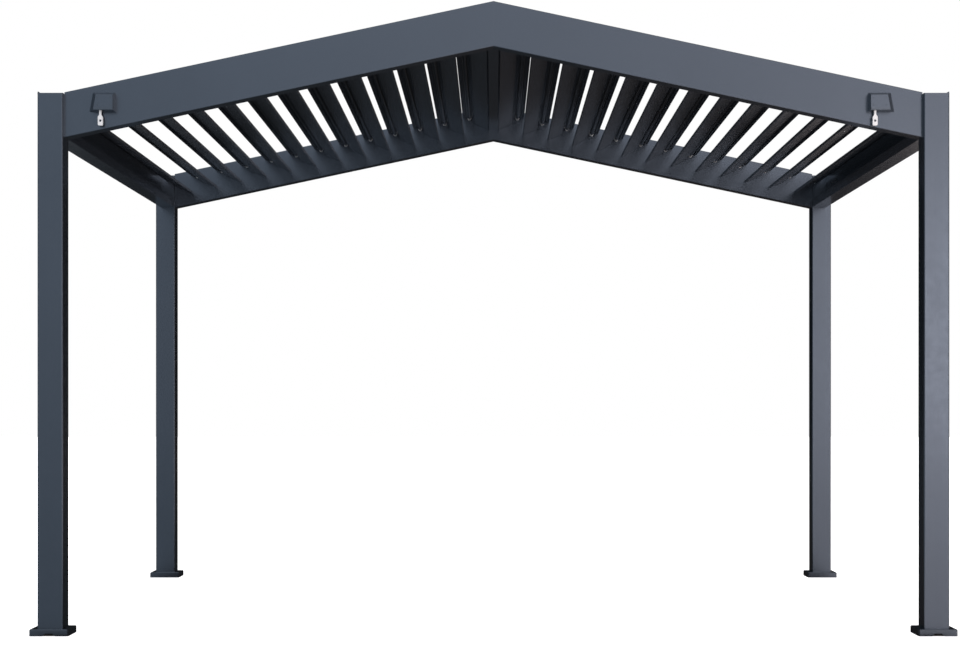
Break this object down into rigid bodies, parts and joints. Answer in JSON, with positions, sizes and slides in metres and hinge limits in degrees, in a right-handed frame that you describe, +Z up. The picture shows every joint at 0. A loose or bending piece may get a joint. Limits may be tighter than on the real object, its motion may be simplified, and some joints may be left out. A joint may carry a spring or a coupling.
{
  "type": "louvered pergola",
  "caption": "Free-standing aluminium pergola with a low gabled roof of tilting louvers, square posts, eave gutters and winding gearboxes on the front gable.",
  "frame": {"origin": "on the ground, at the centre of the footprint", "axes": "+X to the right along the gable, +Y from the front with the gearboxes to the back, +Z up"},
  "size_m": [4.059, 3.059, 2.7893],
  "materials": {
    "frame_coat": "anthracite powder coat, fine texture",
    "louver_coat": "anthracite powder coat, fine texture",
    "cover_coat": "anthracite powder coat, satin",
    "winder_metal": "white, glossy",
    "bare_metal": "mill finish"
  },
  "bodies": {
    "frame": {"post_front_left": "frame_coat", "post_front_right": "frame_coat", "post_rear_left": "frame_coat", "post_rear_right": "frame_coat", "foot_cover_front_left": "cover_coat", "foot_cover_front_right": "cover_coat", "foot_cover_rear_left": "cover_coat", "foot_cover_rear_right": "cover_coat", "post_caps": "cover_coat", "base_plates": "bare_metal", "pivot_pins": "bare_metal", "ridge_beam": "frame_coat", "gable_beam_front_left": "frame_coat", "gable_beam_front_right": "frame_coat", "gable_beam_rear_left": "frame_coat", "gable_beam_rear_right": "frame_coat", "eave_gutter_left": "frame_coat", "eave_gutter_right": "frame_coat", "gearbox_left": "frame_coat", "gearbox_right": "frame_coat"},
    "louver_left_01": {"louver_left_01": "louver_coat"},
    "louver_left_02": {"louver_left_02": "louver_coat"},
    "louver_left_03": {"louver_left_03": "louver_coat"},
    "louver_left_04": {"louver_left_04": "louver_coat"},
    "louver_left_05": {"louver_left_05": "louver_coat"},
    "louver_left_06": {"louver_left_06": "louver_coat"},
    "louver_left_07": {"louver_left_07": "louver_coat"},
    "louver_left_08": {"louver_left_08": "louver_coat"},
    "louver_left_09": {"louver_left_09": "louver_coat"},
    "louver_left_10": {"louver_left_10": "louver_coat"},
    "louver_left_11": {"louver_left_11": "louver_coat"},
    "louver_left_12": {"louver_left_12": "louver_coat"},
    "louver_left_13": {"louver_left_13": "louver_coat"},
    "link_bar_left": {"link_bar_left": "bare_metal"},
    "drive_arm_left": {"drive_arm_left": "bare_metal"},
    "winder_eye_left": {"winder_eye_left": "winder_metal"},
    "louver_right_01": {"louver_right_01": "louver_coat"},
    "louver_right_02": {"louver_right_02": "louver_coat"},
    "louver_right_03": {"louver_right_03": "louver_coat"},
    "louver_right_04": {"louver_right_04": "louver_coat"},
    "louver_right_05": {"louver_right_05": "louver_coat"},
    "louver_right_06": {"louver_right_06": "louver_coat"},
    "louver_right_07": {"louver_right_07": "louver_coat"},
    "louver_right_08": {"louver_right_08": "louver_coat"},
    "louver_right_09": {"louver_right_09": "louver_coat"},
    "louver_right_10": {"louver_right_10": "louver_coat"},
    "louver_right_11": {"louver_right_11": "louver_coat"},
    "louver_right_12": {"louver_right_12": "louver_coat"},
    "louver_right_13": {"louver_right_13": "louver_coat"},
    "link_bar_right": {"link_bar_right": "bare_metal"},
    "drive_arm_right": {"drive_arm_right": "bare_metal"},
    "winder_eye_right": {"winder_eye_right": "winder_metal"}
  },
  "joints": [
    {"name": "louver_left_01_turn", "type": "hinge", "parent": "frame", "child": "louver_left_01", "pos_m": [-0.14199, 0, 2.71513], "axis": [0, 1, 0], "range_deg": [-30, 45]},
    {"name": "louver_left_02_turn", "type": "hinge", "parent": "frame", "child": "louver_left_02", "pos_m": [-0.28842, 0, 2.684], "axis": [0, 1, 0], "range_deg": [-30, 45]},
    {"name": "louver_left_03_turn", "type": "hinge", "parent": "frame", "child": "louver_left_03", "pos_m": [-0.43485, 0, 2.65288], "axis": [0, 1, 0], "range_deg": [-30, 45]},
    {"name": "louver_left_04_turn", "type": "hinge", "parent": "frame", "child": "louver_left_04", "pos_m": [-0.58128, 0, 2.62175], "axis": [0, 1, 0], "range_deg": [-30, 45]},
    {"name": "louver_left_05_turn", "type": "hinge", "parent": "frame", "child": "louver_left_05", "pos_m": [-0.72771, 0, 2.59063], "axis": [0, 1, 0], "range_deg": [-30, 45]},
    {"name": "louver_left_06_turn", "type": "hinge", "parent": "frame", "child": "louver_left_06", "pos_m": [-0.87413, 0, 2.5595], "axis": [0, 1, 0], "range_deg": [-30, 45]},
    {"name": "louver_left_07_turn", "type": "hinge", "parent": "frame", "child": "louver_left_07", "pos_m": [-1.02056, 0, 2.52838], "axis": [0, 1, 0], "range_deg": [-30, 45]},
    {"name": "louver_left_08_turn", "type": "hinge", "parent": "frame", "child": "louver_left_08", "pos_m": [-1.16699, 0, 2.49726], "axis": [0, 1, 0], "range_deg": [-30, 45]},
    {"name": "louver_left_09_turn", "type": "hinge", "parent": "frame", "child": "louver_left_09", "pos_m": [-1.31342, 0, 2.46613], "axis": [0, 1, 0], "range_deg": [-30, 45]},
    {"name": "louver_left_10_turn", "type": "hinge", "parent": "frame", "child": "louver_left_10", "pos_m": [-1.45985, 0, 2.43501], "axis": [0, 1, 0], "range_deg": [-30, 45]},
    {"name": "louver_left_11_turn", "type": "hinge", "parent": "frame", "child": "louver_left_11", "pos_m": [-1.60628, 0, 2.40388], "axis": [0, 1, 0], "range_deg": [-30, 45]},
    {"name": "louver_left_12_turn", "type": "hinge", "parent": "frame", "child": "louver_left_12", "pos_m": [-1.75271, 0, 2.37276], "axis": [0, 1, 0], "range_deg": [-30, 45]},
    {"name": "louver_left_13_turn", "type": "hinge", "parent": "frame", "child": "louver_left_13", "pos_m": [-1.89913, 0, 2.34163], "axis": [0, 1, 0], "range_deg": [-30, 45]},
    {"name": "link_bar_left_turn", "type": "hinge", "parent": "louver_left_01", "child": "link_bar_left", "pos_m": [-0.13002, -1.3705, 2.68224], "axis": [0, 1, 0], "range_deg": [-45, 30]},
    {"name": "drive_arm_left_turn", "type": "hinge", "parent": "frame", "child": "drive_arm_left", "pos_m": [-1.699, -1.429, 2.33517], "axis": [0, 1, 0], "range_deg": [-30, 45]},
    {"name": "winder_eye_left_turn", "type": "hinge", "parent": "frame", "child": "winder_eye_left", "pos_m": [-1.724, -1.495, 2.26717], "axis": [0, 0, 1], "range_deg": [-360, 540]},
    {"name": "louver_right_01_turn", "type": "hinge", "parent": "frame", "child": "louver_right_01", "pos_m": [0.14199, 0, 2.71513], "axis": [0, -1, 0], "range_deg": [-30, 45]},
    {"name": "louver_right_02_turn", "type": "hinge", "parent": "frame", "child": "louver_right_02", "pos_m": [0.28842, 0, 2.684], "axis": [0, -1, 0], "range_deg": [-30, 45]},
    {"name": "louver_right_03_turn", "type": "hinge", "parent": "frame", "child": "louver_right_03", "pos_m": [0.43485, 0, 2.65288], "axis": [0, -1, 0], "range_deg": [-30, 45]},
    {"name": "louver_right_04_turn", "type": "hinge", "parent": "frame", "child": "louver_right_04", "pos_m": [0.58128, 0, 2.62175], "axis": [0, -1, 0], "range_deg": [-30, 45]},
    {"name": "louver_right_05_turn", "type": "hinge", "parent": "frame", "child": "louver_right_05", "pos_m": [0.72771, 0, 2.59063], "axis": [0, -1, 0], "range_deg": [-30, 45]},
    {"name": "louver_right_06_turn", "type": "hinge", "parent": "frame", "child": "louver_right_06", "pos_m": [0.87413, 0, 2.5595], "axis": [0, -1, 0], "range_deg": [-30, 45]},
    {"name": "louver_right_07_turn", "type": "hinge", "parent": "frame", "child": "louver_right_07", "pos_m": [1.02056, 0, 2.52838], "axis": [0, -1, 0], "range_deg": [-30, 45]},
    {"name": "louver_right_08_turn", "type": "hinge", "parent": "frame", "child": "louver_right_08", "pos_m": [1.16699, 0, 2.49726], "axis": [0, -1, 0], "range_deg": [-30, 45]},
    {"name": "louver_right_09_turn", "type": "hinge", "parent": "frame", "child": "louver_right_09", "pos_m": [1.31342, 0, 2.46613], "axis": [0, -1, 0], "range_deg": [-30, 45]},
    {"name": "louver_right_10_turn", "type": "hinge", "parent": "frame", "child": "louver_right_10", "pos_m": [1.45985, 0, 2.43501], "axis": [0, -1, 0], "range_deg": [-30, 45]},
    {"name": "louver_right_11_turn", "type": "hinge", "parent": "frame", "child": "louver_right_11", "pos_m": [1.60628, 0, 2.40388], "axis": [0, -1, 0], "range_deg": [-30, 45]},
    {"name": "louver_right_12_turn", "type": "hinge", "parent": "frame", "child": "louver_right_12", "pos_m": [1.75271, 0, 2.37276], "axis": [0, -1, 0], "range_deg": [-30, 45]},
    {"name": "louver_right_13_turn", "type": "hinge", "parent": "frame", "child": "louver_right_13", "pos_m": [1.89913, 0, 2.34163], "axis": [0, -1, 0], "range_deg": [-30, 45]},
    {"name": "link_bar_right_turn", "type": "hinge", "parent": "louver_right_01", "child": "link_bar_right", "pos_m": [0.13002, -1.3705, 2.68224], "axis": [0, -1, 0], "range_deg": [-45, 30]},
    {"name": "drive_arm_right_turn", "type": "hinge", "parent": "frame", "child": "drive_arm_right", "pos_m": [1.699, -1.429, 2.33517], "axis": [0, -1, 0], "range_deg": [-30, 45]},
    {"name": "winder_eye_right_turn", "type": "hinge", "parent": "frame", "child": "winder_eye_right", "pos_m": [1.674, -1.495, 2.26717], "axis": [0, 0, 1], "range_deg": [-360, 540]}
  ],
  "couplings": [
    {"joint": "louver_left_02_turn", "follows": "louver_left_01_turn", "ratio": 1},
    {"joint": "louver_left_03_turn", "follows": "louver_left_01_turn", "ratio": 1},
    {"joint": "louver_left_04_turn", "follows": "louver_left_01_turn", "ratio": 1},
    {"joint": "louver_left_05_turn", "follows": "louver_left_01_turn", "ratio": 1},
    {"joint": "louver_left_06_turn", "follows": "louver_left_01_turn", "ratio": 1},
    {"joint": "louver_left_07_turn", "follows": "louver_left_01_turn", "ratio": 1},
    {"joint": "louver_left_08_turn", "follows": "louver_left_01_turn", "ratio": 1},
    {"joint": "louver_left_09_turn", "follows": "louver_left_01_turn", "ratio": 1},
    {"joint": "louver_left_10_turn", "follows": "louver_left_01_turn", "ratio": 1},
    {"joint": "louver_left_11_turn", "follows": "louver_left_01_turn", "ratio": 1},
    {"joint": "louver_left_12_turn", "follows": "louver_left_01_turn", "ratio": 1},
    {"joint": "louver_left_13_turn", "follows": "louver_left_01_turn", "ratio": 1},
    {"joint": "link_bar_left_turn", "follows": "louver_left_01_turn", "ratio": -1},
    {"joint": "drive_arm_left_turn", "follows": "louver_left_01_turn", "ratio": 1},
    {"joint": "winder_eye_left_turn", "follows": "louver_left_01_turn", "ratio": 12},
    {"joint": "louver_right_02_turn", "follows": "louver_right_01_turn", "ratio": 1},
    {"joint": "louver_right_03_turn", "follows": "louver_right_01_turn", "ratio": 1},
    {"joint": "louver_right_04_turn", "follows": "louver_right_01_turn", "ratio": 1},
    {"joint": "louver_right_05_turn", "follows": "louver_right_01_turn", "ratio": 1},
    {"joint": "louver_right_06_turn", "follows": "louver_right_01_turn", "ratio": 1},
    {"joint": "louver_right_07_turn", "follows": "louver_right_01_turn", "ratio": 1},
    {"joint": "louver_right_08_turn", "follows": "louver_right_01_turn", "ratio": 1},
    {"joint": "louver_right_09_turn", "follows": "louver_right_01_turn", "ratio": 1},
    {"joint": "louver_right_10_turn", "follows": "louver_right_01_turn", "ratio": 1},
    {"joint": "louver_right_11_turn", "follows": "louver_right_01_turn", "ratio": 1},
    {"joint": "louver_right_12_turn", "follows": "louver_right_01_turn", "ratio": 1},
    {"joint": "louver_right_13_turn", "follows": "louver_right_01_turn", "ratio": 1},
    {"joint": "link_bar_right_turn", "follows": "louver_right_01_turn", "ratio": -1},
    {"joint": "drive_arm_right_turn", "follows": "louver_right_01_turn", "ratio": 1},
    {"joint": "winder_eye_right_turn", "follows": "louver_right_01_turn", "ratio": 12}
  ]
}
